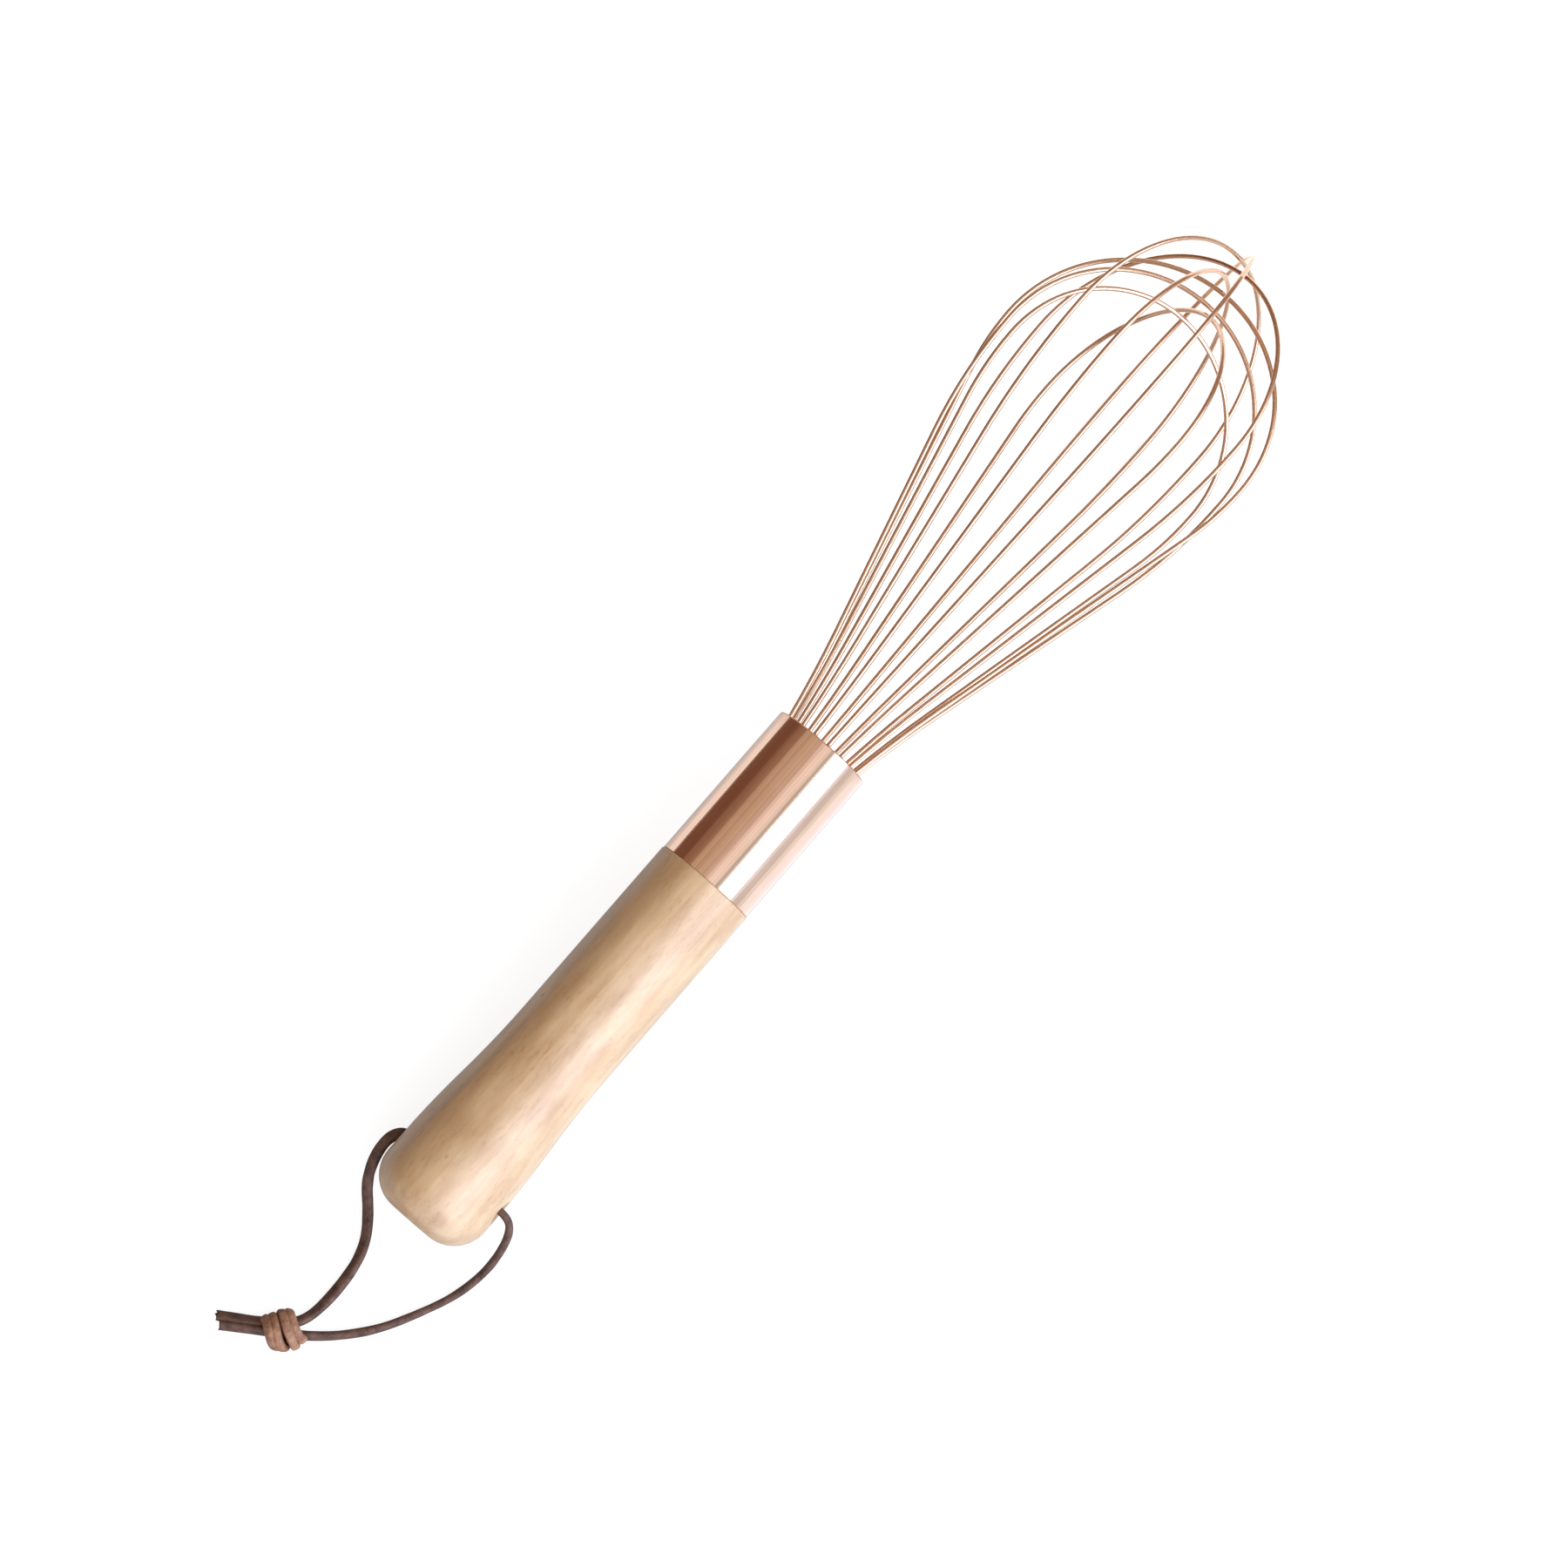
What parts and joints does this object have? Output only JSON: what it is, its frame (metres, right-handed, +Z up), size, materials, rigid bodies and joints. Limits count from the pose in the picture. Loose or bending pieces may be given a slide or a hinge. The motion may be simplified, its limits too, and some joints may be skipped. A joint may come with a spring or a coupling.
{
  "type": "balloon whisk",
  "caption": "Balloon whisk with nested loops of copper-finished wire, a polished ferrule, a turned wooden handle and a knotted leather hanging lace.",
  "frame": {"origin": "on the table under the middle of the whisk, the bottom centre of its box without the lace", "axes": "+X from the handle's butt to the tip of the wires, +Z up from the table, the cross hole and the hinge of the lace along Y"},
  "size_m": [0.3534, 0.0734, 0.0725],
  "materials": {
    "beech": "satin, oiled turned beech",
    "copper_sleeve": "polished, copper plated steel",
    "copper_wire": "polished, copper plated steel wire",
    "plug": "plain moulded",
    "resin": "cast resin",
    "leather": "matt, oiled thong"
  },
  "bodies": {
    "whisk": {"handle": "beech", "ferrule": "copper_sleeve", "core_plug": "plug", "resin_seal": "resin", "wire_loop_1": "copper_wire", "wire_loop_2": "copper_wire", "wire_loop_3": "copper_wire", "wire_loop_4": "copper_wire", "wire_loop_5": "copper_wire", "wire_loop_6": "copper_wire", "wire_loop_7": "copper_wire", "wire_loop_8": "copper_wire"},
    "hanging_loop": {"lace_left": "leather", "lace_right": "leather", "knot": "leather"}
  },
  "joints": [
    {"name": "loop_swing", "type": "hinge", "parent": "whisk", "child": "hanging_loop", "pos_m": [-0.13683, 0, 0.01546], "axis": [0, 1, 0], "range_deg": [0, 120]}
  ]
}
